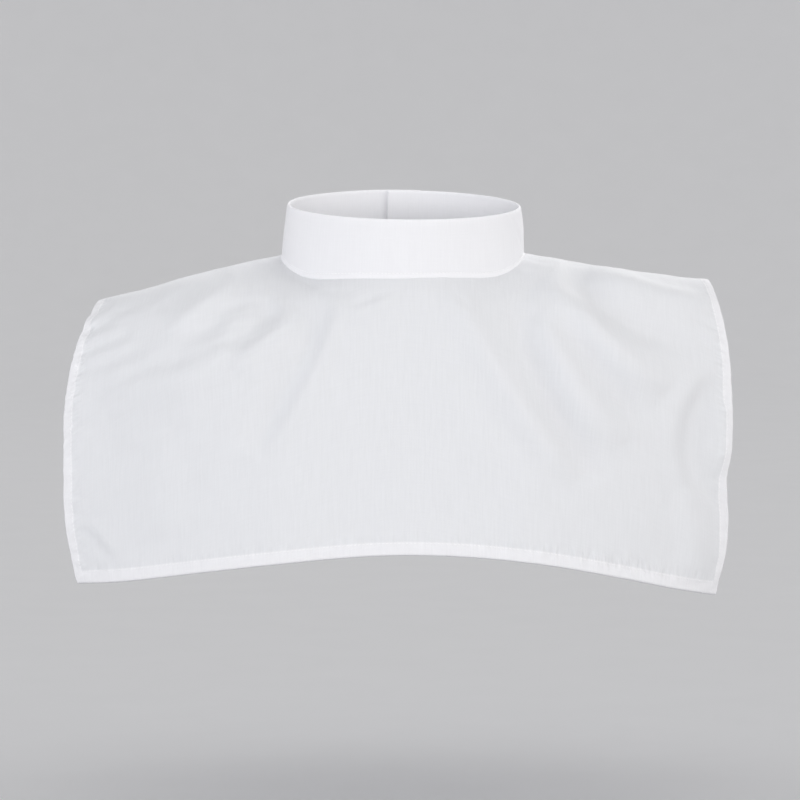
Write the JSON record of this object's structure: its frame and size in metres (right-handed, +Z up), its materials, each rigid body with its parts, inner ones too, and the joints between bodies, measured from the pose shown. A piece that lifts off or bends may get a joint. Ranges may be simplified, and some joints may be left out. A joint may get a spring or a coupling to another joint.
{
  "type": "collared amice",
  "caption": "Rectangular white cloth with turned hems, laid over both shoulders as worn, with a round standing collar band closed by a button at the back.",
  "frame": {"origin": "middle of the neck opening, at the height where the collar meets the cloth at its sides", "axes": "+Z up along the neck, -Y to the front of the garment, +X to the wearer's left shoulder"},
  "size_m": [0.4516, 0.2695, 0.2763],
  "materials": {
    "cloth": "plain-weave cotton blend, white",
    "collar": "folded and interlined plain weave, white",
    "button": "white, satin gloss"
  },
  "bodies": {
    "root": {"body_cloth": "cloth", "collar_band": "collar", "collar_button": "button"}
  },
  "joints": []
}
